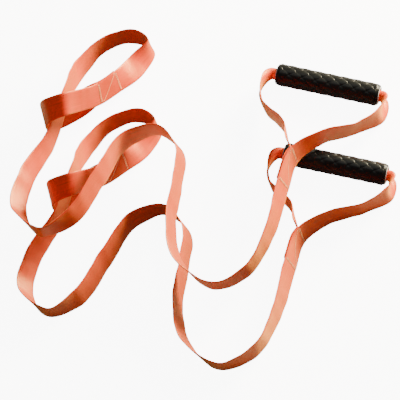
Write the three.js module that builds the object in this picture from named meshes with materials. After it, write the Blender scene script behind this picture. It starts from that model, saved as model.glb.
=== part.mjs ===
// A pair of pull straps for shoulder exercises. Each strap is one length of satin webbing: one end is
// sewn into an eye, the webbing runs through that eye to make a noose for the anchor, and the other end
// passes through a hollow grip and is sewn back on itself. The two straps lie one over the other.
// Millimetres, +Z up, origin on the table under the middle of the pair.
import * as THREE from 'three';

// Webbing
const WEBBING_WIDTH = 25;
const WEBBING_THICKNESS = 1.6;
const GAP = 0.3;                    // left between pieces that touch
const TAIL_GAP = 0.9;               // between a seam's tail and the strand that it is sewn to
const STEP = 5;                     // length of one facet of the webbing
const CURL_CLEARANCE = 1;           // between the rolled webbing and the core's bore
const CURL_RUN = 34;                // distance outside the grip over which it opens out flat
const CURL_FACETS = 8;
const SLOPE_REACH = 0.5;            // the way the webbing runs is measured over this far each way

// Grip: a soft sleeve on a stiff core tube
const GRIP_LENGTH = 112;
const GRIP_CHAMFER = 1.2;
const CORE_BORE = 15.6;
const CORE_WALL = 1.6;
const SLEEVE_WALL = 2.3;
const CORE_PROUD = 0.6;             // the core stands out of each end of the sleeve
const GRIP_FACETS = 40;
const GRIP_MIDDLE = [136.5, 141.5];
const GRIP_YAW = -14.5;             // degrees from +X
const MOUTH_RUN = 3;                // the webbing stays straight this far outside the core

// Sewn seams
const SEAM_THREAD = 0.7;
const SEAM_INSET = 2.2;             // from the edge of the webbing to the end of a row

// Where the two straps lie, and how far the upper one moves forward for each millimetre it rises
const LOWER_PLACE = [4, -94];
const UPPER_PLACE = [-3.4, 9.5];
const FORWARD_PER_RISE = 0.7;

// The strap's route from the sewn eye to the grip, and from the grip back to the stem. Each point gives
// the middle of the webbing (x, y, z), how far its upper edge leans toward +X and +Y as a share of its
// width, and how far the upper strap rises there to clear the lower one. Heights are for webbing and a
// grip that stand ROUTE_HEIGHT tall, and scale with them.
const ROUTE_HEIGHT = 25;
const ROUTE_TO_GRIP = [
  [-126, 113.6, 15.5, -0.28, 0.74, 0],
  [-137, 110, 7, -0.21, 0.93, 0],
  [-147, 105.5, 4, -0.20, 0.96, 0],
  [-160, 99, 6, -0.20, 0.94, 0],
  [-166, 93, 21, -0.22, 0.80, 0],
  [-161, 86, 43.5, -0.25, 0.72, 0],
  [-148, 88.6, 48.5, -0.20, 0.68, 0],
  [-127, 104.5, 35.5, -0.20, 0.42, 0],
  [-107, 121.8, 23, -0.35, 0.33, 0],
  [-87, 142, 18.5, -0.43, 0.33, 0],
  [-66, 170, 10.4, -0.60, 0.46, 0],
  [-53, 193, 12.3, -0.30, 0.02, 0],
  [-68, 203.8, 12.7, 0.01, 0.03, 0],
  [-100, 195, 12.6, -0.09, 0.09, 0],
  [-125, 165.2, 13.8, -0.34, 0.18, 0],
  [-142, 114.6, 33, -0.20, 0.06, 0],
  [-157.5, 71.2, 15.5, -0.31, 0.16, 3],
  [-185, 18, 11.6, -0.58, 0.20, 15],
  [-191, -23, 11.2, -0.66, -0.11, 23],
  [-168, -50, 12.6, -0.02, -0.23, 28],
  [-138, -32, 12.2, -0.25, 0.21, 33],
  [-107, 21, 11.5, -0.40, 0.21, 38],
  [-73, 73, 12.4, -0.14, 0.17, 27],
  [-45, 82, 12.7, -0.06, -0.12, 26],
  [-23, 60, 11.9, -0.38, -0.13, 25],
  [-24, 16, 11.8, -0.39, 0.06, 25],
  [-31, -37, 11.7, -0.44, 0.00, 26],
  [-22, -87, 11, -0.48, -0.22, 26],
  [14, -119, 12.8, -0.04, -0.28, 15],
  [50, -99, 12.7, -0.06, 0.03, 14],
  [72, -53, 12.2, -0.30, 0.10, 23],
  [88, 12, 13, -0.45, 0.12, 27],
  [100, 49, 13.6, -0.30, 0.16, 28],
  [127, 71, 12.7, -0.02, 0.05, 24],
  [169, 86, 12.7, 0.04, -0.08, 5],
  [194, 106, 12.5, -0.20, 0.08, 0],
];
const ROUTE_FROM_GRIP = [
  [65, 139, 12.7, 0.05, -0.01, 0],
  [67, 117, 12.5, -0.15, -0.02, 5],
  [90.5, 82, 13.6, -0.08, -0.05, 23],
  [93.5, 65, 12.9, -0.26, 0.03, 28],
];

// Places along the route, counted in points of ROUTE_TO_GRIP
const EYE_SEAM = [8, 9];
const STEM_SEAM = [31, 32];
const EYE_SPREAD = 2.5;             // how much further off a tail is where the strands part
const STEM_SPREAD = 1.2;
const EYE_RUN_ON = 4;               // the eye's tail stays beside its strand this far past the seam
const TAIL_STEPS = 4;

const SATIN = { color: 0xf0532d, roughness: 0.42, metalness: 0.0 };
const RUBBER = { color: 0x17191a, roughness: 0.62, metalness: 0.0 };
const CORE_PLASTIC = { color: 0xb9bcbc, roughness: 0.5, metalness: 0.0 };
const THREAD = { color: 0xf08a5c, roughness: 0.6, metalness: 0.0 };

const CORE_RADIUS = CORE_BORE / 2 + CORE_WALL;
const GRIP_RADIUS = CORE_RADIUS + GAP + SLEEVE_WALL;
const CURL_RADIUS = (CORE_BORE - WEBBING_THICKNESS) / 2 - CURL_CLEARANCE;
const TAIL_OFFSET = WEBBING_THICKNESS + TAIL_GAP;
const EDGE_SCALE = WEBBING_WIDTH / ROUTE_HEIGHT;
const RISE_SCALE = Math.max(WEBBING_WIDTH, 2 * GRIP_RADIUS) / ROUTE_HEIGHT;

// A smooth curve through rows of numbers: a cubic between each pair, whose slope at a point is the mean
// of the slopes on both sides, weighted so that the nearer neighbour counts more.
function smoothCurve(rows) {
  const knots = [0];
  for (let i = 1; i < rows.length; i++) {
    const [dx, dy, dz] = [0, 1, 2].map((k) => rows[i][k] - rows[i - 1][k]);
    knots.push(knots[i - 1] + Math.hypot(dx, dy, dz));
  }
  const slope = (i, k) => (rows[i + 1][k] - rows[i][k]) / (knots[i + 1] - knots[i]);
  const tangent = (i, k) => {
    if (i === 0) return slope(0, k);
    if (i === rows.length - 1) return slope(i - 1, k);
    const before = knots[i] - knots[i - 1];
    const after = knots[i + 1] - knots[i];
    return (slope(i - 1, k) * after + slope(i, k) * before) / (before + after);
  };
  const at = (u) => {
    let i = 0;
    while (i < rows.length - 2 && u > knots[i + 1]) i++;
    const h = knots[i + 1] - knots[i];
    const t = (u - knots[i]) / h;
    return rows[0].map((_, k) => {
      const [p, q] = [rows[i][k], rows[i + 1][k]];
      const [m, n] = [tangent(i, k) * h, tangent(i + 1, k) * h];
      return p + t * (m + t * (3 * (q - p) - 2 * m - n + t * (2 * (p - q) + m + n)));
    });
  };
  return { at, knots };
}

// Turns a row into a place and an upper-edge direction on one strap.
function liftedRow(row, place, share) {
  const [x, y, z, leanX, leanY, rise] = row;
  const up = rise * RISE_SCALE * share;
  return [x + place[0], y + place[1] - up * FORWARD_PER_RISE, z * EDGE_SCALE + up, leanX, leanY];
}

// The webbing's frame at a place on the curve: its middle, the way it runs, the way its upper edge
// points (across) and the way its face looks (out).
function frameAt(curve, u) {
  const row = curve.at(u);
  const ahead = curve.at(u + SLOPE_REACH);
  const behind = curve.at(u - SLOPE_REACH);
  const middle = new THREE.Vector3(row[0], row[1], row[2]);
  const along = new THREE.Vector3(ahead[0] - behind[0], ahead[1] - behind[1], ahead[2] - behind[2]);
  along.normalize();
  const upright = Math.sqrt(Math.max(0, 1 - row[3] ** 2 - row[4] ** 2));
  const across = new THREE.Vector3(row[3], row[4], upright);
  across.addScaledVector(along, -across.dot(along)).normalize();
  return { middle, along, across, out: new THREE.Vector3().crossVectors(along, across) };
}

// The grip's axis on one strap, from its right end to its left end.
function gripAxis(place) {
  const yaw = THREE.MathUtils.degToRad(GRIP_YAW);
  const toLeft = new THREE.Vector3(-Math.cos(yaw), -Math.sin(yaw), 0);
  const middle = new THREE.Vector3(GRIP_MIDDLE[0] + place[0], GRIP_MIDDLE[1] + place[1], GRIP_RADIUS);
  return { toLeft, middle };
}

// The tail of a seam lies behind the strand that it is sewn to, at the webbing's thickness and the gap.
// It spreads away from the strand as it leaves the seam; `parted` is the end, 0 or 1, where it is close.
function tailRows(curve, from, to, spread, parted) {
  const rows = [];
  for (let i = 0; i <= TAIL_STEPS; i++) {
    const frame = frameAt(curve, from + (to - from) * i / TAIL_STEPS);
    const off = TAIL_OFFSET + spread * Math.abs(parted - i / TAIL_STEPS) ** 2;
    const place = frame.middle.clone().addScaledVector(frame.out, -off);
    rows.push([place.x, place.y, place.z, frame.across.x, frame.across.y]);
  }
  return rows;
}

// The whole strap: the eye's tail, the route to the grip, the straight run through it, the route back
// and the stem's tail.
function strapPath(place, share) {
  const toGrip = ROUTE_TO_GRIP.map((row) => liftedRow(row, place, share));
  const fromGrip = ROUTE_FROM_GRIP.map((row) => liftedRow(row, place, share));
  const axis = gripAxis(place);
  const half = GRIP_LENGTH / 2 + CORE_PROUD;
  const straight = [-half - MOUTH_RUN, -half, half, half + MOUTH_RUN].map((d) => {
    const p = axis.middle.clone().addScaledVector(axis.toLeft, d);
    return [p.x, p.y, p.z, 0, 0];
  });
  const main = [...toGrip, ...straight, ...fromGrip];
  const draft = smoothCurve(main);
  const eyeEnd = draft.knots[EYE_SEAM[0]] - EYE_RUN_ON;
  const eyeTail = tailRows(draft, draft.knots[EYE_SEAM[1]], eyeEnd, EYE_SPREAD, 0);
  const stemEnds = STEM_SEAM.map((i) => draft.knots[i]);
  const stemTail = tailRows(draft, stemEnds[1], stemEnds[0], STEM_SPREAD, 1);
  const curve = smoothCurve([...eyeTail, ...main, ...stemTail]);
  const first = eyeTail.length;
  return {
    curve,
    axis,
    knot: (i) => curve.knots[first + i],
    end: curve.knots[curve.knots.length - 1],
    gripStart: curve.knots[first + toGrip.length + 1],
    gripEnd: curve.knots[first + toGrip.length + 2],
  };
}

// 0 on flat webbing, 1 where it is rolled up inside the grip.
function curlAt(path, u) {
  const outside = Math.max(path.gripStart - u, u - path.gripEnd, 0);
  return 1 - THREE.MathUtils.smoothstep(outside, 0, CURL_RUN);
}

// A strip of the webbing, or of thread on it, from u = from to u = to. A box is bent along the path:
// its width is rolled to the curl there, `side` slides it across the webbing and `lift` off the face.
function strip(path, from, to, { width, thickness, facets = 2, side = () => 0, lift = 0 }) {
  const steps = Math.max(1, Math.round((to - from) / STEP));
  const box = new THREE.BoxGeometry(width, thickness, to - from, facets, 1, steps);
  const spots = box.getAttribute('position');
  const frames = [];
  for (let i = 0; i <= steps; i++) frames.push(frameAt(path.curve, from + (to - from) * i / steps));
  for (let v = 0; v < spots.count; v++) {
    const share = spots.getZ(v) / (to - from) + 0.5;
    const frame = frames[Math.round(share * steps)];
    const curl = curlAt(path, from + (to - from) * share) / CURL_RADIUS;
    const s = spots.getX(v) + side(share);
    const off = spots.getY(v) + lift;
    const turn = s * curl;
    const reach = curl > 0 ? Math.sin(turn) / curl : s;
    const sag = curl > 0 ? (1 - Math.cos(turn)) / curl - curl * CURL_RADIUS ** 2 : 0;
    const spot = frame.middle.clone();
    spot.addScaledVector(frame.across, reach - off * Math.sin(turn));
    spot.addScaledVector(frame.out, sag + off * Math.cos(turn));
    spots.setXYZ(v, spot.x, spot.y, spot.z);
  }
  box.computeVertexNormals();
  return box;
}

function namedMesh(name, geometry, look) {
  const mesh = new THREE.Mesh(geometry, new THREE.MeshStandardMaterial(look));
  mesh.name = name;
  return mesh;
}

// The stretches that the webbing is divided into, each with the route point that it ends at.
const STRETCHES = [
  ['eye_under', 4],
  ['eye_over', 8],
  ['noose_front', 11],
  ['noose_back', 15],
  ['standing', 17],
  ['left_bend', 20],
  ['hump_rise', 22],
  ['hump_turn', 25],
  ['right_limb', 27],
  ['front_bend', 30],
  ['stem', 33],
];

function webbing(path, name) {
  const size = { width: WEBBING_WIDTH, thickness: WEBBING_THICKNESS };
  const meshes = [];
  let from = 0;
  for (const [stretch, last] of STRETCHES) {
    const to = path.knot(last);
    meshes.push(namedMesh(`${name}_webbing_${stretch}`, strip(path, from, to, size), SATIN));
    from = to + GAP;
  }
  const curled = { ...size, facets: CURL_FACETS };
  const [start, end] = [path.gripStart - CURL_RUN, path.gripEnd + CURL_RUN];
  const rest = [
    ['right_strand', from, start, size],
    ['in_grip', start + GAP, end, curled],
    ['left_strand', end + GAP, path.end, size],
  ];
  for (const [stretch, a, b, shape] of rest) {
    meshes.push(namedMesh(`${name}_webbing_${stretch}`, strip(path, a, b, shape), SATIN));
  }
  return meshes;
}

// A seam is two rows across the webbing and one that slants between them, on the strand's outer face.
function seam(path, name, points) {
  const [a, b] = points.map(path.knot);
  const reach = WEBBING_WIDTH / 2 - SEAM_INSET;
  const lift = WEBBING_THICKNESS / 2 + GAP + SEAM_THREAD / 2;
  const bar = { width: 2 * reach, thickness: SEAM_THREAD, lift };
  const slant = (share) => (2 * share - 1) * (reach - SEAM_THREAD);
  const line = { width: SEAM_THREAD, thickness: SEAM_THREAD, lift, side: slant };
  const clear = SEAM_THREAD + GAP;
  return [
    namedMesh(`${name}_row_1`, strip(path, a, a + SEAM_THREAD, bar), THREAD),
    namedMesh(`${name}_row_2`, strip(path, b - SEAM_THREAD, b, bar), THREAD),
    namedMesh(`${name}_row_slant`, strip(path, a + clear, b - clear, line), THREAD),
  ];
}

// A closed profile turned about the grip's axis, with a flat facet underneath.
function turned(profile) {
  const points = profile.map(([r, h]) => new THREE.Vector2(r, h));
  const lathe = new THREE.LatheGeometry([...points, points[0].clone()], GRIP_FACETS);
  return lathe.rotateY(Math.PI / GRIP_FACETS);
}

// The sleeve and the core tube that it is pushed on to, both round about the grip's axis.
function grip(path, name) {
  const half = GRIP_LENGTH / 2;
  const inner = CORE_RADIUS + GAP;
  const sleeve = turned([
    [inner, -half],
    [GRIP_RADIUS - GRIP_CHAMFER, -half],
    [GRIP_RADIUS, -half + GRIP_CHAMFER],
    [GRIP_RADIUS, half - GRIP_CHAMFER],
    [GRIP_RADIUS - GRIP_CHAMFER, half],
    [inner, half],
  ]);
  const reach = half + CORE_PROUD;
  const core = turned([
    [CORE_BORE / 2, -reach],
    [CORE_RADIUS, -reach],
    [CORE_RADIUS, reach],
    [CORE_BORE / 2, reach],
  ]);
  const turnedGroup = new THREE.Group();
  turnedGroup.add(namedMesh(`${name}_grip_sleeve`, sleeve, RUBBER));
  turnedGroup.add(namedMesh(`${name}_grip_core`, core, CORE_PLASTIC));
  turnedGroup.position.copy(path.axis.middle);
  turnedGroup.quaternion.setFromUnitVectors(new THREE.Vector3(0, 1, 0), path.axis.toLeft);
  return turnedGroup;
}

function strap(name, place, share) {
  const path = strapPath(place, share);
  const group = new THREE.Group();
  group.add(...webbing(path, name));
  group.add(...seam(path, `${name}_eye_seam`, EYE_SEAM));
  group.add(...seam(path, `${name}_stem_seam`, STEM_SEAM));
  group.add(grip(path, name));
  return group;
}

const pair = new THREE.Group();
pair.add(strap('lower', LOWER_PLACE, 0));
pair.add(strap('upper', UPPER_PLACE, 1));

export default pair;
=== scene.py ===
"""A pair of satin webbing pull straps with scaled rubber grips, one strap lying over the other.

Every piece is a surface worked out in numpy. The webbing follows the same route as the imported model:
a sewn eye, a noose run through it, loose bends, a stem and a loop through the hollow grip.
"""

import bpy
import numpy as np
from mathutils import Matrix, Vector


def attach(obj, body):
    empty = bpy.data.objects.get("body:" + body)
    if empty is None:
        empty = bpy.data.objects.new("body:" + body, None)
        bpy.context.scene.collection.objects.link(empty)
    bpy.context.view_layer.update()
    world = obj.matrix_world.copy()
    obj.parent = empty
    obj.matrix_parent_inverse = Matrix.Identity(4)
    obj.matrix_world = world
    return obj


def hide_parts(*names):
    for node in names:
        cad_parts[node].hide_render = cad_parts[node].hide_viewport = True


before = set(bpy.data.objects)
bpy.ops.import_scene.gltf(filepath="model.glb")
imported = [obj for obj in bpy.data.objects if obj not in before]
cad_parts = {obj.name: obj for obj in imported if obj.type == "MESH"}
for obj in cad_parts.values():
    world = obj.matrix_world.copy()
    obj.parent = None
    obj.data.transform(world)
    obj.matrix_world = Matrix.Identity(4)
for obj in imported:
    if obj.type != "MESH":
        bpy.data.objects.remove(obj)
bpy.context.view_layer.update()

bl_info = {
    "name": "Pull Strap Pair",
    "version": (1, 0, 0),
    "blender": (4, 5, 0),
    "location": "3D View > Sidebar > Pull Straps",
    "description": "Builds a pair of satin webbing pull straps with scaled rubber grips",
    "category": "Add Mesh",
}

# --- How the two straps lie ------------------------------------------------------------------------
# Each route point is the middle of the webbing (x, y, z), how far its upper edge leans toward +X and +Y
# as a share of its width, and how far the upper strap rises there over the lower one. Metres.
ROUTE_TO_GRIP = [
    (-0.126, 0.1136, 0.0155, -0.28, 0.74, 0),
    (-0.137, 0.11, 0.007, -0.21, 0.93, 0),
    (-0.147, 0.1055, 0.004, -0.2, 0.96, 0),
    (-0.16, 0.099, 0.006, -0.2, 0.94, 0),
    (-0.166, 0.093, 0.021, -0.22, 0.8, 0),
    (-0.161, 0.086, 0.0435, -0.25, 0.72, 0),
    (-0.148, 0.0886, 0.0485, -0.2, 0.68, 0),
    (-0.127, 0.1045, 0.0355, -0.2, 0.42, 0),
    (-0.107, 0.1218, 0.023, -0.35, 0.33, 0),
    (-0.087, 0.142, 0.0185, -0.43, 0.33, 0),
    (-0.066, 0.17, 0.0104, -0.6, 0.46, 0),
    (-0.053, 0.193, 0.0123, -0.3, 0.02, 0),
    (-0.068, 0.2038, 0.0127, 0.01, 0.03, 0),
    (-0.1, 0.195, 0.0126, -0.09, 0.09, 0),
    (-0.125, 0.1652, 0.0138, -0.34, 0.18, 0),
    (-0.142, 0.1146, 0.033, -0.2, 0.06, 0),
    (-0.1575, 0.0712, 0.0155, -0.31, 0.16, 0.003),
    (-0.185, 0.018, 0.0116, -0.58, 0.2, 0.015),
    (-0.191, -0.023, 0.0112, -0.66, -0.11, 0.023),
    (-0.168, -0.05, 0.0126, -0.02, -0.23, 0.028),
    (-0.138, -0.032, 0.0122, -0.25, 0.21, 0.033),
    (-0.107, 0.021, 0.0115, -0.4, 0.21, 0.038),
    (-0.073, 0.073, 0.0124, -0.14, 0.17, 0.027),
    (-0.045, 0.082, 0.0127, -0.06, -0.12, 0.026),
    (-0.023, 0.06, 0.0119, -0.38, -0.13, 0.025),
    (-0.024, 0.016, 0.0118, -0.39, 0.06, 0.025),
    (-0.031, -0.037, 0.0117, -0.44, 0, 0.026),
    (-0.022, -0.087, 0.011, -0.48, -0.22, 0.026),
    (0.014, -0.119, 0.0128, -0.04, -0.28, 0.015),
    (0.05, -0.099, 0.0127, -0.06, 0.03, 0.014),
    (0.072, -0.053, 0.0122, -0.3, 0.1, 0.023),
    (0.088, 0.012, 0.013, -0.45, 0.12, 0.027),
    (0.1, 0.049, 0.0136, -0.3, 0.16, 0.028),
    (0.127, 0.071, 0.0127, -0.02, 0.05, 0.024),
    (0.169, 0.086, 0.0127, 0.04, -0.08, 0.005),
    (0.194, 0.106, 0.0125, -0.2, 0.08, 0),
]
ROUTE_FROM_GRIP = [
    (0.065, 0.139, 0.0127, 0.05, -0.01, 0),
    (0.067, 0.117, 0.0125, -0.15, -0.02, 0.005),
    (0.0905, 0.082, 0.0136, -0.08, -0.05, 0.023),
    (0.0935, 0.065, 0.0129, -0.26, 0.03, 0.028),
]
STRAPS = {"lower": ((0.004, -0.094), 0), "upper": ((-0.0034, 0.0095), 1)}
FORWARD_PER_RISE = 0.7
EYE_SEAM = (8, 9)
STEM_SEAM = (31, 32)
TAIL_GAP = 0.0002
EYE_SPREAD = 0.0025
STEM_SPREAD = 0.0012
EYE_RUN_ON = 0.004
TAIL_STEPS = 4
SLOPE_REACH = 0.0005
WEBBING_STRETCHES = (
    "eye_under", "eye_over", "noose_front", "noose_back", "standing", "left_bend", "hump_rise",
    "hump_turn", "right_limb", "front_bend", "stem", "right_strand", "in_grip", "left_strand",
)

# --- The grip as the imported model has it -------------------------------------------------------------
GRIP_MIDDLE = (0.1365, 0.1415)
GRIP_YAW = np.radians(-14.5)
GRIP_HALF = 0.056
GRIP_RADIUS = 0.012
CORE_PROUD = 0.0006
CORE_BORE = 0.0156
CORE_RADIUS = 0.0094
MOUTH_RUN = 0.003
CURL_RUN = 0.034
CURL_RADIUS = 0.006
FLAT_CURL = 1e-6            # curls below this, per metre, count as flat

# --- The view ----------------------------------------------------------------------------------------
VIEW_TARGET = (-0.0034, 0.0095, 0.0)
VIEW_ELEVATION = np.radians(55)
VIEW_DISTANCE = 16.0
VIEW_WIDTH = 0.424
SENSOR = 36.0
SIDES = ("lower", "upper")


class PullStrapWebbing(bpy.types.PropertyGroup):
    """Sizes and colour of the webbing and of the thread in its seams."""
    width: bpy.props.FloatProperty(
        name="Width", description="Width of the webbing", default=0.025, unit="LENGTH")
    thickness: bpy.props.FloatProperty(
        name="Thickness", description="Thickness of the webbing", default=0.0015, unit="LENGTH")
    yarn: bpy.props.FloatProperty(
        name="Yarn", description="Width of one warp yarn of the satin weave, in millimetres", default=0.8)
    ripple: bpy.props.FloatProperty(
        name="Ripple", description="Height of the slow waves in the webbing", default=0.00028,
        unit="LENGTH")
    colour: bpy.props.FloatVectorProperty(
        name="Satin colour", description="Colour of the satin yarns", default=(0.8, 0.012, 0.008),
        subtype="COLOR", size=3)
    sheen: bpy.props.FloatVectorProperty(
        name="Sheen colour", description="Colour that the satin shows where it catches the light",
        default=(1.0, 0.55, 0.12), subtype="COLOR", size=3)
    stitch: bpy.props.FloatProperty(
        name="Stitch", description="Length of one stitch", default=0.0024, unit="LENGTH")
    thread: bpy.props.FloatProperty(
        name="Thread", description="Thickness of the sewing thread", default=0.0008, unit="LENGTH")
    thread_colour: bpy.props.FloatVectorProperty(
        name="Thread colour", description="Colour of the sewing thread", default=(1.0, 0.6, 0.3),
        subtype="COLOR", size=3)


class PullStrapGrip(bpy.types.PropertyGroup):
    """Sizes and colours of the grip's rubber sleeve and of its core tube."""
    scale_pitch: bpy.props.FloatProperty(
        name="Scale pitch", description="Distance between scales along the grip", default=0.0142,
        unit="LENGTH")
    scale_rows: bpy.props.IntProperty(
        name="Scale rows", description="Rows of scales round the grip, an even number", default=14)
    scale_height: bpy.props.FloatProperty(
        name="Scale height", description="How far a scale stands up", default=0.0014, unit="LENGTH")
    collar: bpy.props.FloatProperty(
        name="Collar", description="Plain length at each end of the sleeve", default=0.0018,
        unit="LENGTH")
    rubber: bpy.props.FloatVectorProperty(
        name="Rubber colour", description="Colour of the sleeve", default=(0.003, 0.0034, 0.003),
        subtype="COLOR", size=3)
    core: bpy.props.FloatVectorProperty(
        name="Core colour", description="Colour of the core tube", default=(0.42, 0.43, 0.43),
        subtype="COLOR", size=3)


class PullStrapStage(bpy.types.PropertyGroup):
    """The floor and the lights round the straps."""
    floor: bpy.props.FloatVectorProperty(
        name="Floor colour", description="Colour of the floor", default=(0.5, 0.5, 0.5),
        subtype="COLOR", size=3)
    floor_glow: bpy.props.FloatProperty(
        name="Floor glow", description="How much lighter the floor looks than it lights the straps",
        default=9.0)
    key_power: bpy.props.FloatProperty(
        name="Key light", description="Power of the soft light on the right", default=125.0, unit="POWER")
    top_power: bpy.props.FloatProperty(
        name="Top light", description="Power of the soft light overhead", default=10.0, unit="POWER")
    sky: bpy.props.FloatProperty(
        name="Sky", description="Strength of the even light from all round", default=0.25)


# --- The route of the webbing --------------------------------------------------------------------------
class SmoothCurve:
    """A cubic through rows of numbers over their running length. Its slope at a row is the mean of the
    slopes on both sides, weighted so that the nearer neighbour counts more."""

    def __init__(self, rows):
        self.rows = np.asarray(rows, float)
        steps = np.linalg.norm(np.diff(self.rows[:, :3], axis=0), axis=1)
        self.knots = np.concatenate([[0], np.cumsum(steps)])
        self.steps = steps
        slopes = np.diff(self.rows, axis=0) / steps[:, None]
        before, after = steps[:-1, None], steps[1:, None]
        inner = (slopes[:-1] * after + slopes[1:] * before) / (before + after)
        self.tangents = np.concatenate([slopes[:1], inner, slopes[-1:]])

    def at(self, u):
        """The rows' values at running lengths u."""
        i = np.clip(np.searchsorted(self.knots, u) - 1, 0, len(self.steps) - 1)
        h = self.steps[i][..., None]
        t = (u - self.knots[i])[..., None] / h
        p, q = self.rows[i], self.rows[i + 1]
        m, n = self.tangents[i] * h, self.tangents[i + 1] * h
        return p + t * (m + t * (3 * (q - p) - 2 * m - n + t * (2 * (p - q) + m + n)))


def unit(vectors):
    return vectors / np.linalg.norm(vectors, axis=-1, keepdims=True)


def webbing_frame(curve, u):
    """Middle, running direction, upper-edge direction (across) and face direction (out) at lengths u.
    Across is the leaning edge made square to the run, and out is along x across."""
    row = curve.at(u)
    along = unit(curve.at(u + SLOPE_REACH)[..., :3] - curve.at(u - SLOPE_REACH)[..., :3])
    lean = row[..., 3:5]
    upright = np.sqrt(np.maximum(0, 1 - (lean ** 2).sum(-1, keepdims=True)))
    edge = np.concatenate([lean, upright], -1)
    across = unit(edge - along * (edge * along).sum(-1, keepdims=True))
    return row[..., :3], along, across, np.cross(along, across)


def lifted(rows, place, share):
    """Route rows moved to a strap's place; the upper strap rises and comes forward as it rises."""
    rows = np.array(rows, float)
    up = rows[:, 5] * share
    rows[:, 0] += place[0]
    rows[:, 1] += place[1] - up * FORWARD_PER_RISE
    rows[:, 2] += up
    return rows[:, :5]


def grip_axis(side):
    """Middle of the grip and the direction from its right end to its left end."""
    place = STRAPS[side][0]
    middle = np.array([GRIP_MIDDLE[0] + place[0], GRIP_MIDDLE[1] + place[1], GRIP_RADIUS])
    return middle, np.array([-np.cos(GRIP_YAW), -np.sin(GRIP_YAW), 0.0])


def tail_rows(curve, start, end, spread, parted, thickness):
    """A seam's tail: the strand's own rows moved behind its face, further where the two strands part."""
    share = np.linspace(0, 1, TAIL_STEPS + 1)
    middle, _, across, out = webbing_frame(curve, start + (end - start) * share)
    off = thickness + TAIL_GAP + spread * (parted - share) ** 2
    return np.concatenate([middle - out * off[:, None], across[:, :2]], 1)


class StrapPath:
    """One strap's whole length: eye tail, route to the grip, the run through it, route back, stem tail."""

    def __init__(self, side, thickness):
        place, share = STRAPS[side]
        to_grip = lifted(ROUTE_TO_GRIP, place, share)
        from_grip = lifted(ROUTE_FROM_GRIP, place, share)
        middle, to_left = grip_axis(side)
        half = GRIP_HALF + CORE_PROUD
        reach = np.array([-half - MOUTH_RUN, -half, half, half + MOUTH_RUN])
        straight = np.zeros((4, 5))
        straight[:, :3] = middle + reach[:, None] * to_left
        main = np.concatenate([to_grip, straight, from_grip])
        draft = SmoothCurve(main)
        eye = [draft.knots[EYE_SEAM[1]], draft.knots[EYE_SEAM[0]] - EYE_RUN_ON]
        stem = [draft.knots[STEM_SEAM[1]], draft.knots[STEM_SEAM[0]]]
        eye_tail = tail_rows(draft, *eye, EYE_SPREAD, 0, thickness)
        stem_tail = tail_rows(draft, *stem, STEM_SPREAD, 1, thickness)
        self.curve = SmoothCurve(np.concatenate([eye_tail, main, stem_tail]))
        knots = self.curve.knots
        first = len(eye_tail)
        self.length = knots[-1]
        self.grip = (knots[first + len(to_grip) + 1], knots[first + len(to_grip) + 2])
        self.seams = {
            "eye": [knots[first + i] for i in EYE_SEAM],
            "stem": [knots[first + i] for i in STEM_SEAM],
        }

    def place(self, u, side, off):
        """Points on the webbing at running length u, `side` across it and `off` from its middle plane.
        Near the grip the width is rolled on a circle that is centred on the grip's axis."""
        middle, _, across, out = webbing_frame(self.curve, u)
        outside = np.maximum(0, np.maximum(self.grip[0] - u, u - self.grip[1]))
        t = np.clip(outside / CURL_RUN, 0, 1)
        curl = (1 - t * t * (3 - 2 * t)) / CURL_RADIUS
        safe = np.maximum(curl, FLAT_CURL)
        turn = side * curl
        reach = np.where(curl > FLAT_CURL, np.sin(turn) / safe, side)
        sag = np.where(curl > FLAT_CURL, (1 - np.cos(turn)) / safe - curl * CURL_RADIUS ** 2, 0)
        spot = middle + across * (reach - off * np.sin(turn))[..., None]
        return spot + out * (sag + off * np.cos(turn))[..., None]


# --- Meshes from grids -----------------------------------------------------------------------------------
def grid_faces(rows, columns, wrap_rows=False, wrap_columns=True):
    """Quads between neighbouring points of a grid, as rows of four point numbers."""
    i = np.arange(rows if wrap_rows else rows - 1)[:, None]
    j = np.arange(columns if wrap_columns else columns - 1)[None, :]
    i2, j2 = (i + 1) % rows, (j + 1) % columns
    corners = [i * columns + j, i * columns + j2, i2 * columns + j2, i2 * columns + j]
    return np.stack(corners, -1).reshape(-1, 4)


def make_piece(name, points, faces, material, uv=None):
    """A smooth mesh object from points and faces, with an optional map of two values per point."""
    mesh = bpy.data.meshes.new(name)
    mesh.from_pydata(points.reshape(-1, 3).tolist(), [], [face.tolist() for face in faces])
    mesh.polygons.foreach_set("use_smooth", np.ones(len(mesh.polygons), bool))
    if uv is not None:
        corner = np.empty(len(mesh.loops), np.int32)
        mesh.loops.foreach_get("vertex_index", corner)
        layer = mesh.uv_layers.new(name="webbing_mm")
        layer.data.foreach_set("uv", uv.reshape(-1, 2)[corner].astype(np.float32).ravel())
    mesh.materials.append(material)
    mesh.update()
    piece = bpy.data.objects.new(name, mesh)
    bpy.context.scene.collection.objects.link(piece)
    return piece


def capped(points, faces):
    """A tube grid closed at both ends by a fan of triangles to the middle of each end ring."""
    rows, columns = points.shape[:2]
    flat = points.reshape(-1, points.shape[-1])
    middles = np.stack([points[0].mean(0), points[-1].mean(0)])
    j = np.arange(columns)
    first = np.stack([(j + 1) % columns, j, np.full(columns, rows * columns)], -1)
    base = (rows - 1) * columns
    last = np.stack([base + j, base + (j + 1) % columns, np.full(columns, rows * columns + 1)], -1)
    return np.concatenate([flat, middles]), [*faces, *first, *last]


# --- Materials ---------------------------------------------------------------------------------------------
def new_group(name, inputs, outputs):
    """An empty shader node group with named sockets; returns the group, its input and its output node."""
    group = bpy.data.node_groups.new(name, "ShaderNodeTree")
    for label, kind, default in inputs:
        socket = group.interface.new_socket(name=label, in_out="INPUT", socket_type=kind)
        if default is not None:
            socket.default_value = default
    for label, kind in outputs:
        group.interface.new_socket(name=label, in_out="OUTPUT", socket_type=kind)
    return group, group.nodes.new("NodeGroupInput"), group.nodes.new("NodeGroupOutput")


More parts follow.
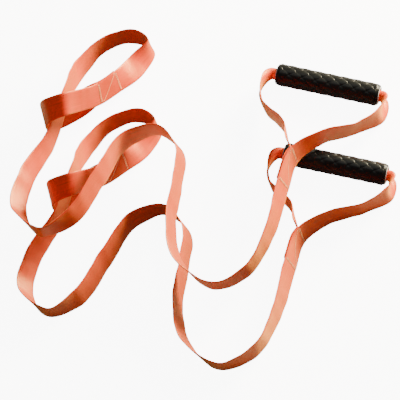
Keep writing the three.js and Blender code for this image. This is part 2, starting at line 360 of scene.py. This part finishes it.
def math_node(tree, operation, first, second=None):
    """One Math node fed by sockets or numbers."""
    node = tree.nodes.new("ShaderNodeMath")
    node.operation = operation
    for socket, value in zip(node.inputs, (first, second)):
        if value is None:
            continue
        if isinstance(value, bpy.types.NodeSocket):
            tree.links.new(value, socket)
        else:
            socket.default_value = value
    return node.outputs[0]


SATIN_SHIFT = 0.4           # of a float, from one yarn's dip to its neighbour's
FLOAT_FLATNESS = 0.35
STREAK_STRETCH = 0.12


def satin_weave_group():
    """Raised warp yarns side by side. Each floats over the weft for a length and dips under it once, and
    each yarn's dip is two fifths of a float further on than its neighbour's, as in a five-end satin. The
    streak is a noise stretched out along the yarns."""
    inputs = [
        ("Along", "NodeSocketFloat", 0.0),
        ("Across", "NodeSocketFloat", 0.0),
        ("Yarn", "NodeSocketFloat", 0.8),
        ("Float", "NodeSocketFloat", 3.2),
    ]
    outputs = [("Relief", "NodeSocketFloat"), ("Streak", "NodeSocketFloat")]
    group, given, result = new_group("satin_weave", inputs, outputs)
    column = math_node(group, "DIVIDE", given.outputs["Across"], given.outputs["Yarn"])
    number = math_node(group, "FLOOR", column)
    within = math_node(group, "FRACT", column)
    crown = math_node(group, "SINE", math_node(group, "MULTIPLY", within, np.pi))
    run = math_node(group, "DIVIDE", given.outputs["Along"], given.outputs["Float"])
    shifted = math_node(group, "ADD", run, math_node(group, "MULTIPLY", number, SATIN_SHIFT))
    phase = math_node(group, "FRACT", shifted)
    arch = math_node(group, "SINE", math_node(group, "MULTIPLY", phase, np.pi))
    floated = math_node(group, "POWER", arch, FLOAT_FLATNESS)
    group.links.new(math_node(group, "MULTIPLY", crown, floated), result.inputs["Relief"])
    stretched = group.nodes.new("ShaderNodeCombineXYZ")
    group.links.new(math_node(group, "MULTIPLY", run, STREAK_STRETCH), stretched.inputs["X"])
    group.links.new(column, stretched.inputs["Y"])
    noise = group.nodes.new("ShaderNodeTexNoise")
    noise.inputs["Scale"].default_value = 1.0
    group.links.new(stretched.outputs["Vector"], noise.inputs["Vector"])
    group.links.new(noise.outputs["Fac"], result.inputs["Streak"])
    return group


def unevenness_group():
    """Soft patches and fine grain from two noises on one set of coordinates, both from 0 to 1."""
    inputs = [
        ("Vector", "NodeSocketVector", None),
        ("Patches", "NodeSocketFloat", 20.0),
        ("Grain", "NodeSocketFloat", 900.0),
    ]
    outputs = [("Patch", "NodeSocketFloat"), ("Grain", "NodeSocketFloat")]
    group, given, result = new_group("unevenness", inputs, outputs)
    for label, detail in (("Patch", 3.0), ("Grain", 2.0)):
        noise = group.nodes.new("ShaderNodeTexNoise")
        noise.inputs["Detail"].default_value = detail
        group.links.new(given.outputs["Vector"], noise.inputs["Vector"])
        group.links.new(given.outputs["Patches" if label == "Patch" else "Grain"], noise.inputs["Scale"])
        group.links.new(noise.outputs["Fac"], result.inputs[label])
    return group


def shared_group(name, build):
    return bpy.data.node_groups.get(name) or build()


class Finish:
    """A material being put together round one Principled shader."""

    def __init__(self, name):
        self.material = bpy.data.materials.new(name)
        self.material.use_nodes = True
        self.tree = self.material.node_tree
        self.shader = self.tree.nodes["Principled BSDF"]

    def set(self, **values):
        """Constants on the shader's own sockets; underscores in a name stand for spaces."""
        for label, value in values.items():
            self.shader.inputs[label.replace("_", " ")].default_value = value

    def unevenness(self, patches, grain):
        node = self.tree.nodes.new("ShaderNodeGroup")
        node.node_tree = shared_group("unevenness", unevenness_group)
        node.inputs["Patches"].default_value = patches
        node.inputs["Grain"].default_value = grain
        where = self.tree.nodes.new("ShaderNodeTexCoord")
        self.tree.links.new(where.outputs["Object"], node.inputs["Vector"])
        return node

    def ramp(self, value, stops, socket):
        """A colour ramp from a value to one of the shader's sockets."""
        node = self.tree.nodes.new("ShaderNodeValToRGB")
        for element, (place, colour) in zip(node.color_ramp.elements, stops):
            element.position = place
            element.color = (*colour, 1)
        self.tree.links.new(value, node.inputs["Fac"])
        if socket:
            self.tree.links.new(node.outputs["Color"], self.shader.inputs[socket])
        return node.outputs["Color"]

    def span(self, value, low, high, socket):
        """A value from 0 to 1 stretched between two levels into one of the shader's sockets."""
        node = self.tree.nodes.new("ShaderNodeMapRange")
        node.inputs["To Min"].default_value = low
        node.inputs["To Max"].default_value = high
        self.tree.links.new(value, node.inputs["Value"])
        self.tree.links.new(node.outputs["Result"], self.shader.inputs[socket])

    def bump(self, height, distance, strength):
        """Fine relief from a height of 0 to 1, standing `distance` metres at full strength."""
        node = self.tree.nodes.new("ShaderNodeBump")
        node.inputs["Distance"].default_value = distance
        node.inputs["Strength"].default_value = strength
        self.tree.links.new(height, node.inputs["Height"])
        self.tree.links.new(node.outputs["Normal"], self.shader.inputs["Normal"])


def tinted(colour, share):
    return tuple(min(1.0, part * share) for part in colour)


def satin_material(settings):
    """Smooth satin yarns along the webbing, streaked lengthwise, with a warm sheen and painted shade in the
    dips between the yarns.
    """
    finish = Finish("satin_webbing")
    tree = finish.tree
    uv = tree.nodes.new("ShaderNodeUVMap")
    uv.uv_map = "webbing_mm"
    parts = tree.nodes.new("ShaderNodeSeparateXYZ")
    tree.links.new(uv.outputs["UV"], parts.inputs["Vector"])
    weave = tree.nodes.new("ShaderNodeGroup")
    weave.node_tree = shared_group("satin_weave", satin_weave_group)
    weave.inputs["Yarn"].default_value = settings.yarn
    tree.links.new(parts.outputs["X"], weave.inputs["Along"])
    tree.links.new(parts.outputs["Y"], weave.inputs["Across"])
    colour = tuple(settings.colour)
    deep = finish.ramp(weave.outputs["Streak"], [(0.3, tinted(colour, 0.72)), (0.7, colour)], None)
    shade = tree.nodes.new("ShaderNodeMix")
    shade.data_type = "RGBA"
    shade.blend_type = "MULTIPLY"
    shade.inputs["Factor"].default_value = 1.0
    # Painted shade: the base colour is multiplied darker where the weave's relief is low, in the dips
    # between the yarns.
    painted_gap_shade = finish.ramp(weave.outputs["Relief"], [(0.1, (0.72, 0.6, 0.55)), (0.55, (1, 1, 1))], None)
    tree.links.new(deep, shade.inputs["A"])
    tree.links.new(painted_gap_shade, shade.inputs["B"])
    tree.links.new(shade.outputs["Result"], finish.shader.inputs["Base Color"])
    finish.span(weave.outputs["Streak"], 0.3, 0.52, "Roughness")
    finish.set(IOR=1.6, Specular_IOR_Level=0.8, Sheen_Weight=0.9, Sheen_Roughness=0.45)
    finish.set(Specular_Tint=(*settings.sheen, 1), Sheen_Tint=(*settings.sheen, 1))
    finish.bump(weave.outputs["Relief"], 0.00012, 0.6)
    return finish.material


def thread_material(settings):
    """Twisted sewing thread, a little lighter and duller than the webbing."""
    finish = Finish("sewing_thread")
    uneven = finish.unevenness(160.0, 2600.0)
    colour = tuple(settings.thread_colour)
    finish.ramp(uneven.outputs["Patch"], [(0.3, tinted(colour, 0.8)), (0.7, colour)], "Base Color")
    finish.span(uneven.outputs["Grain"], 0.45, 0.65, "Roughness")
    finish.set(Sheen_Weight=0.3, Sheen_Tint=(*settings.sheen, 1))
    finish.bump(uneven.outputs["Grain"], 0.00008, 0.5)
    return finish.material


def rubber_material(settings):
    """Near-black moulded rubber with a fine skin grain."""
    finish = Finish("grip_rubber")
    uneven = finish.unevenness(60.0, 1500.0)
    colour = tuple(settings.rubber)
    finish.ramp(uneven.outputs["Patch"], [(0.3, colour), (0.75, tinted(colour, 1.8))], "Base Color")
    finish.span(uneven.outputs["Patch"], 0.3, 0.42, "Roughness")
    finish.set(Specular_IOR_Level=0.15)
    finish.bump(uneven.outputs["Grain"], 0.00006, 0.6)
    return finish.material


def core_material(settings):
    """Grey moulded plastic."""
    finish = Finish("core_plastic")
    uneven = finish.unevenness(90.0, 900.0)
    colour = tuple(settings.core)
    finish.ramp(uneven.outputs["Patch"], [(0.3, tinted(colour, 0.85)), (0.7, colour)], "Base Color")
    finish.span(uneven.outputs["Grain"], 0.42, 0.55, "Roughness")
    finish.bump(uneven.outputs["Grain"], 0.00003, 0.4)
    return finish.material


def floor_material(settings):
    """Pale seamless floor."""
    finish = Finish("pale_floor")
    uneven = finish.unevenness(3.0, 400.0)
    colour = tuple(settings.floor)
    finish.ramp(uneven.outputs["Patch"], [(0.2, tinted(colour, 0.99)), (0.8, colour)], "Base Color")
    finish.set(Roughness=0.85, Specular_IOR_Level=0.1, Emission_Color=(1, 1, 1, 1))
    ray = finish.tree.nodes.new("ShaderNodeLightPath")
    glow = math_node(finish.tree, "MULTIPLY", ray.outputs["Is Camera Ray"], settings.floor_glow)
    finish.tree.links.new(glow, finish.shader.inputs["Emission Strength"])
    return finish.material


# --- The stage ----------------------------------------------------------------------------------------
KEY_PLACE = (0.85, 0.95, 0.45)
KEY_SIZE = 0.55
TOP_PLACE = (-0.1, 0.5, 1.7)
TOP_SIZE = 1.4
WARM_LIGHT = (1.0, 0.88, 0.62)
WHITE_LIGHT = (1.0, 1.0, 1.0)
FLOOR_REACH = 6.0


def soft_light(name, place, size, power, colour):
    """A square area light at a place, turned toward the middle of the straps."""
    data = bpy.data.lights.new(name, "AREA")
    data.size = size
    data.energy = power
    data.color = colour
    light = bpy.data.objects.new(name, data)
    light.location = place
    light.rotation_euler = (Vector(VIEW_TARGET) - light.location).to_track_quat("-Z", "Y").to_euler()
    bpy.context.scene.collection.objects.link(light)
    return light


class PULLSTRAPS_OT_stage(bpy.types.Operator):
    """Add the camera, the lights and a plain pale floor"""
    bl_idname = "pullstraps.stage"
    bl_label = "Stage"

    def execute(self, context):
        settings = context.scene.pull_strap_stage
        data = bpy.data.cameras.new("camera")
        data.sensor_width = SENSOR
        data.lens = SENSOR * VIEW_DISTANCE / VIEW_WIDTH
        data.clip_end = 4 * VIEW_DISTANCE
        camera = bpy.data.objects.new("camera", data)
        back = Vector((0, -np.cos(VIEW_ELEVATION), np.sin(VIEW_ELEVATION)))
        camera.location = Vector(VIEW_TARGET) + back * VIEW_DISTANCE
        camera.rotation_euler = (np.pi / 2 - VIEW_ELEVATION, 0, 0)
        context.scene.collection.objects.link(camera)
        context.scene.camera = camera
        soft_light("key_light", KEY_PLACE, KEY_SIZE, settings.key_power, WARM_LIGHT)
        soft_light("top_light", TOP_PLACE, TOP_SIZE, settings.top_power, WHITE_LIGHT)
        corners = FLOOR_REACH * np.array([[-1, -1, 0], [1, -1, 0], [1, 1, 0], [-1, 1, 0]])
        floor = make_piece("floor", corners, [np.arange(4)], floor_material(settings))
        world = bpy.data.worlds.new("even_light")
        world.use_nodes = True
        background = world.node_tree.nodes["Background"]
        background.inputs["Color"].default_value = (1, 1, 1, 1)
        background.inputs["Strength"].default_value = settings.sky
        context.scene.world = world
        return {"FINISHED"}


# --- The webbing --------------------------------------------------------------------------------------
RING_STEP = 0.0013
HALF_RING = 13
EDGE_ROUNDNESS = 14
RIPPLE_LENGTHS = (0.031, 0.047, 0.019)
TILT_LENGTH = 0.026
SEWN_FADE = 0.02
STITCH_DENT = 0.35          # share of the thickness that a row of stitches draws in
DENT_REACH = 0.0011
SEALED_THINNING = 0.55      # share of the thickness lost at a cut end
SEALED_REACH = 0.0012
MM_PER_METRE = 1000


def webbing_section(width, thickness):
    """One ring round the webbing: places across it run from edge to edge along the face and back, closer
    together near the edges, and the thickness falls off as a superellipse so that the edges are round."""
    across = np.sin(np.linspace(-np.pi / 2, np.pi / 2, HALF_RING))
    rise = np.sqrt(1 - np.abs(across) ** EDGE_ROUNDNESS)
    side = np.concatenate([across, across[-2:0:-1]]) * width / 2
    off = np.concatenate([rise, -rise[-2:0:-1]]) * thickness / 2
    return side, off


def ripple(u, side, width, height, seed):
    """Slow waves of the webbing's face: three sines of the running length with phases from a seeded
    draw, tilted a little from edge to edge by a fourth."""
    phase = np.random.default_rng(seed).uniform(0, 2 * np.pi, 4)
    waves = sum(np.sin(2 * np.pi * u / long + turn) for long, turn in zip(RIPPLE_LENGTHS, phase))
    tilt = np.sin(2 * np.pi * u / TILT_LENGTH + phase[3]) * side / width
    return height * (waves / len(RIPPLE_LENGTHS) + tilt)


def near_seam(u, seams, reach):
    """1 on the webbing's sewn stretches, falling to 0 within `reach` of them."""
    mask = np.zeros_like(u)
    for start, end in seams.values():
        gap = np.maximum(0, np.maximum(start - u, u - end))
        mask = np.maximum(mask, 1 - np.clip(gap / reach, 0, 1))
    return mask


def webbing_surface(path, settings, seed):
    """Points and map of one strap's webbing. The section is carried along the path; it is drawn in under
    the rows of stitches, thins to a sealed edge at both cut ends, and its face waves slowly elsewhere."""
    count = int(round(path.length / RING_STEP)) + 1
    u = np.linspace(0, path.length, count)[:, None]
    side, off = webbing_section(settings.width, settings.thickness)
    tail_length = path.seams["eye"][1] - path.seams["eye"][0]
    ends = {"first": (0, tail_length), "last": (path.length - tail_length, path.length)}
    sewn = np.maximum(near_seam(u, path.seams, SEWN_FADE), near_seam(u, ends, SEWN_FADE))
    in_grip = near_seam(u, {"grip": path.grip}, CURL_RUN)
    rows = sum(np.exp(-((u - row) / DENT_REACH) ** 2) for seam in path.seams.values() for row in seam)
    sealed = 1 - SEALED_THINNING * np.exp(-np.minimum(u, path.length - u) / SEALED_REACH)
    thick = off * (1 - STITCH_DENT * np.minimum(rows, 1)) * sealed
    wave = ripple(u, side, settings.width, settings.ripple, seed) * (1 - sewn) * (1 - in_grip)
    lengths, sides = np.broadcast_arrays(u, side)
    points = path.place(lengths, sides, thick + wave)
    return points, np.stack([lengths, sides], -1) * MM_PER_METRE, u.ravel()


class PULLSTRAPS_OT_webbing(bpy.types.Operator):
    """Add the one length of webbing of each strap"""
    bl_idname = "pullstraps.webbing"
    bl_label = "Webbing"

    def execute(self, context):
        settings = context.scene.pull_strap_webbing
        material = satin_material(settings)
        for seed, side in enumerate(SIDES):
            path = StrapPath(side, settings.thickness)
            points, uv, u = webbing_surface(path, settings, seed)
            faces = grid_faces(*points.shape[:2])
            both = np.concatenate([points, uv], -1)
            flat, faces = capped(both, faces)
            piece = make_piece(f"{side}_webbing", flat[:, :3], faces, material, flat[:, 3:])
            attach(piece, f"{side}_strap")
            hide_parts(*(f"{side}_webbing_{stretch}" for stretch in WEBBING_STRETCHES))
            centres = path.curve.at(u)[:, :3]
        return {"FINISHED"}


# --- The stitches -------------------------------------------------------------------------------------
SEAM_INSET = 0.0022
DOUBLE_ROW = 0.0013


def seam_rows(start, end, width):
    """The lines of a seam as (from, to) pairs of (length, side): two rows across at each end of it and
    one slanting between them."""
    reach = width / 2 - SEAM_INSET
    rows = []
    for u, inward in ((start, 1), (end, -1)):
        for step in (0, DOUBLE_ROW):
            rows.append(((u + inward * step, -reach), (u + inward * step, reach)))
    clear = 2 * DOUBLE_ROW
    rows.append(((start + clear, -reach), (end - clear, reach)))
    return rows


def stitch_spots(rows, stitch):
    """Middle of each stitch as (length, side), and its half step along its row."""
    spots, halves = [], []
    for first, last in rows:
        first, last = np.array(first), np.array(last)
        count = max(1, int(np.linalg.norm(last - first) / stitch))
        share = (np.arange(count)[:, None] + 0.5) / count
        spots.append(first + (last - first) * share)
        halves.append(np.tile((last - first) / count / 2, (count, 1)))
    return np.concatenate(spots), np.concatenate(halves)


STITCH_RINGS = 7
STITCH_SIDES = 6
STITCH_REACH = 0.8          # share of a stitch's half step that its run covers
THREAD_END = 0.02           # least sine used for the thickness at a stitch's ends


def stitch_points(path, spots, halves, off, thread):
    """Stitches as spindles: a point at angles a (end to end) and b (round) is the stitch's middle, plus
    its run times cos a, plus half the thread's thickness times the root of sin a, turned by b."""
    middle = path.place(spots[:, 0], spots[:, 1], np.full(len(spots), off))
    ahead = path.place(*(spots + halves * STITCH_REACH).T, np.full(len(spots), off))
    above = path.place(spots[:, 0], spots[:, 1], np.full(len(spots), off + thread))
    run = ahead - middle
    normal = unit(above - middle)
    across = unit(np.cross(run, normal))
    a = np.linspace(0, np.pi, STITCH_RINGS)[None, :, None, None]
    b = np.linspace(0, 2 * np.pi, STITCH_SIDES, endpoint=False)[None, None, :, None]
    spread = [vector[:, None, None, :] for vector in (middle, run, normal, across)]
    radius = thread / 2 * np.sqrt(np.maximum(np.sin(a), THREAD_END))
    round_ = spread[2] * np.cos(b) + spread[3] * np.sin(b)
    return spread[0] + spread[1] * np.cos(a) + round_ * radius


def join_tubes(tubes):
    """Points and faces of many small capped tubes of the same grid, as one mesh."""
    points, faces, base = [], [], 0
    pattern = grid_faces(tubes.shape[1], tubes.shape[2])
    for tube in tubes:
        flat, closed = capped(tube, pattern)
        points.append(flat)
        faces.extend(np.asarray(face) + base for face in closed)
        base += len(flat)
    return np.concatenate(points), faces


class PULLSTRAPS_OT_stitches(bpy.types.Operator):
    """Add the stitches of the eye seam and the stem seam of each strap"""
    bl_idname = "pullstraps.stitches"
    bl_label = "Stitches"

    def execute(self, context):
        settings = context.scene.pull_strap_webbing
        material = thread_material(settings)
        for side in SIDES:
            path = StrapPath(side, settings.thickness)
            for seam, (start, end) in path.seams.items():
                spots, halves = stitch_spots(seam_rows(start, end, settings.width), settings.stitch)
                face = settings.thickness / 2
                back = -face - settings.thickness - TAIL_GAP
                tubes = np.concatenate([
                    stitch_points(path, spots, halves, face, settings.thread),
                    stitch_points(path, spots, halves, back, settings.thread),
                ])
                points, faces = join_tubes(tubes)
                piece = make_piece(f"{side}_{seam}_stitches", points, faces, material)
                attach(piece, f"{side}_strap")
                rows = ("1", "2", "slant")
                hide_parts(*(f"{side}_{seam}_seam_row_{row}" for row in rows))
        return {"FINISHED"}


# --- The grips ----------------------------------------------------------------------------------------
SCALE_REACH_ALONG = 0.5     # half a scale's length, as a share of the pitch
SCALE_REACH_ROUND = 0.9     # half a scale's width, as a share of the step between rows
SCALE_ROUNDNESS = 1.6
SCALE_DOME = 0.3
SCALE_SWELL = 0.28


def round_grip(side, along, radius, turn):
    """Points about the grip's axis: the middle, plus the axis to the right times `along`, plus `radius`
    times the direction at angle `turn` from straight up."""
    middle, to_left = grip_axis(side)
    right = -to_left
    up = np.array([0.0, 0.0, 1.0])
    sideways = np.cross(right, up)
    spoke = up * np.cos(turn)[..., None] + sideways * np.sin(turn)[..., None]
    return middle + right * along[..., None] + spoke * radius[..., None]


def scales(along, turn, settings):
    """Height of the raised scales, 0 to 1. Their middles are on rows round the grip, each row half a pitch
    further along than the last. A scale is a rounded lozenge: the sum of |x| and |y|, each raised to
    SCALE_ROUNDNESS, stays below 1. It swells toward its right end, and the highest neighbour counts."""
    row_step = 2 * np.pi / settings.scale_rows
    height = np.zeros(np.broadcast(along, turn).shape)
    nearest = np.round(turn / row_step)
    for row in (nearest - 1, nearest, nearest + 1):
        shift = (row % 2) * 0.5
        cell = along / settings.scale_pitch - shift
        for step in (-1, 0, 1):
            x = (cell - np.round(cell) - step) / SCALE_REACH_ALONG
            y = (turn / row_step - row) / SCALE_REACH_ROUND
            near = np.abs(x) ** SCALE_ROUNDNESS + np.abs(y) ** SCALE_ROUNDNESS
            dome = np.maximum(0, 1 - near) ** SCALE_DOME
            height = np.maximum(height, dome * (1 - SCALE_SWELL + SCALE_SWELL * np.clip(x, -1, 1)))
    return height


SLEEVE_STEPS = 400
SLEEVE_TURNS = 176
SLEEVE_END = 0.0016
SLEEVE_BORE = 0.0097
SCALE_SINK = 0.75           # share of a scale that is cut below the grip's radius
SCALE_FADE = 0.0016         # length over which the scales rise beside a collar
SLEEVE_BEND_POINTS = 7


def sleeve_surface(side, settings):
    """The sleeve: a profile loop (outer wall, rounded right end, bore, rounded left end) turned about the
    axis. The outer radius is the grip's, less part of the scale height, plus the scales."""
    valley = GRIP_RADIUS - SCALE_SINK * settings.scale_height
    outer = np.linspace(-GRIP_HALF + SLEEVE_END, GRIP_HALF - SLEEVE_END, SLEEVE_STEPS)
    bend = np.linspace(0, np.pi / 2, SLEEVE_BEND_POINTS)[1:]
    right = GRIP_HALF - SLEEVE_END * (1 - np.sin(bend))
    down = valley - SLEEVE_END * (1 - np.cos(bend))
    bore = np.array([GRIP_HALF, GRIP_HALF / 2, 0, -GRIP_HALF / 2, -GRIP_HALF])
    along = np.concatenate([outer, right, bore, -right[::-1]])[:, None]
    base = np.concatenate([np.full(SLEEVE_STEPS, valley), down, np.full(len(bore), SLEEVE_BORE), down[::-1]])
    turn = np.linspace(0, 2 * np.pi, SLEEVE_TURNS, endpoint=False)[None, :]
    fade = np.clip((GRIP_HALF - settings.collar - np.abs(along)) / SCALE_FADE, 0, 1)
    on_outer = (np.arange(len(along)) < SLEEVE_STEPS)[:, None]
    relief = scales(along, turn, settings) * fade * on_outer
    radius = base[:, None] + settings.scale_height * relief
    along, turn = np.broadcast_arrays(along, turn)
    return round_grip(side, along, radius, turn)


class PULLSTRAPS_OT_sleeves(bpy.types.Operator):
    """Add the scaled rubber sleeve of each grip"""
    bl_idname = "pullstraps.sleeves"
    bl_label = "Grip Sleeves"

    def execute(self, context):
        settings = context.scene.pull_strap_grip
        material = rubber_material(settings)
        for side in SIDES:
            points = sleeve_surface(side, settings)
            faces = grid_faces(*points.shape[:2], wrap_rows=True)
            piece = make_piece(f"{side}_sleeve", points, faces, material)
            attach(piece, f"{side}_grip")
            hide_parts(f"{side}_grip_sleeve")
        return {"FINISHED"}


CORE_EDGE = 0.0005
CORE_TURNS = 96
CORE_RIM_POINTS = 13


def core_surface(side):
    """The core tube: a wall profile with half-round rims, turned about the axis. A rim's point at angle a
    is the wall's middle radius plus half the wall times cos a, and the end plus the edge times sin a."""
    wall = CORE_RADIUS - CORE_BORE / 2
    centre = CORE_RADIUS - wall / 2
    a = np.linspace(0, np.pi, CORE_RIM_POINTS)
    end = GRIP_HALF + CORE_PROUD - CORE_EDGE
    along = np.concatenate([end + CORE_EDGE * np.sin(a), -end - CORE_EDGE * np.sin(a)])
    radius = np.concatenate([centre + wall / 2 * np.cos(a), centre - wall / 2 * np.cos(a)])
    turn = np.linspace(0, 2 * np.pi, CORE_TURNS, endpoint=False)
    along, turn = np.meshgrid(along, turn, indexing="ij")
    return round_grip(side, along, np.broadcast_to(radius[:, None], along.shape), turn)


class PULLSTRAPS_OT_cores(bpy.types.Operator):
    """Add the plastic core tube of each grip"""
    bl_idname = "pullstraps.cores"
    bl_label = "Grip Cores"

    def execute(self, context):
        material = core_material(context.scene.pull_strap_grip)
        for side in SIDES:
            points = core_surface(side)
            faces = grid_faces(*points.shape[:2], wrap_rows=True)
            piece = make_piece(f"{side}_core", points, faces, material)
            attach(piece, f"{side}_grip")
            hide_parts(f"{side}_grip_core")
        return {"FINISHED"}


OPERATORS = (
    PULLSTRAPS_OT_stage,
    PULLSTRAPS_OT_webbing,
    PULLSTRAPS_OT_stitches,
    PULLSTRAPS_OT_sleeves,
    PULLSTRAPS_OT_cores,
)
SETTINGS = {
    "pull_strap_webbing": PullStrapWebbing,
    "pull_strap_grip": PullStrapGrip,
    "pull_strap_stage": PullStrapStage,
}


class PULLSTRAPS_PT_panel(bpy.types.Panel):
    """The settings and the steps, in the order in which they are made"""
    bl_idname = "PULLSTRAPS_PT_panel"
    bl_label = "Pull Straps"
    bl_space_type = "VIEW_3D"
    bl_region_type = "UI"
    bl_category = "Pull Straps"

    def draw(self, context):
        for name, group in SETTINGS.items():
            box = self.layout.box()
            for label in group.__annotations__:
                box.prop(getattr(context.scene, name), label)
        for operator in OPERATORS:
            self.layout.operator(operator.bl_idname)


CLASSES = (*SETTINGS.values(), *OPERATORS, PULLSTRAPS_PT_panel)


def register():
    for item in CLASSES:
        bpy.utils.register_class(item)
    for name, group in SETTINGS.items():
        setattr(bpy.types.Scene, name, bpy.props.PointerProperty(type=group))


def unregister():
    for name in SETTINGS:
        delattr(bpy.types.Scene, name)
    for item in reversed(CLASSES):
        bpy.utils.unregister_class(item)


def main():
    register()
    bpy.ops.pullstraps.stage()
    bpy.ops.pullstraps.webbing()
    bpy.ops.pullstraps.stitches()
    bpy.ops.pullstraps.sleeves()
    bpy.ops.pullstraps.cores()
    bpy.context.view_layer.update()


if __name__ == "__main__":
    main()
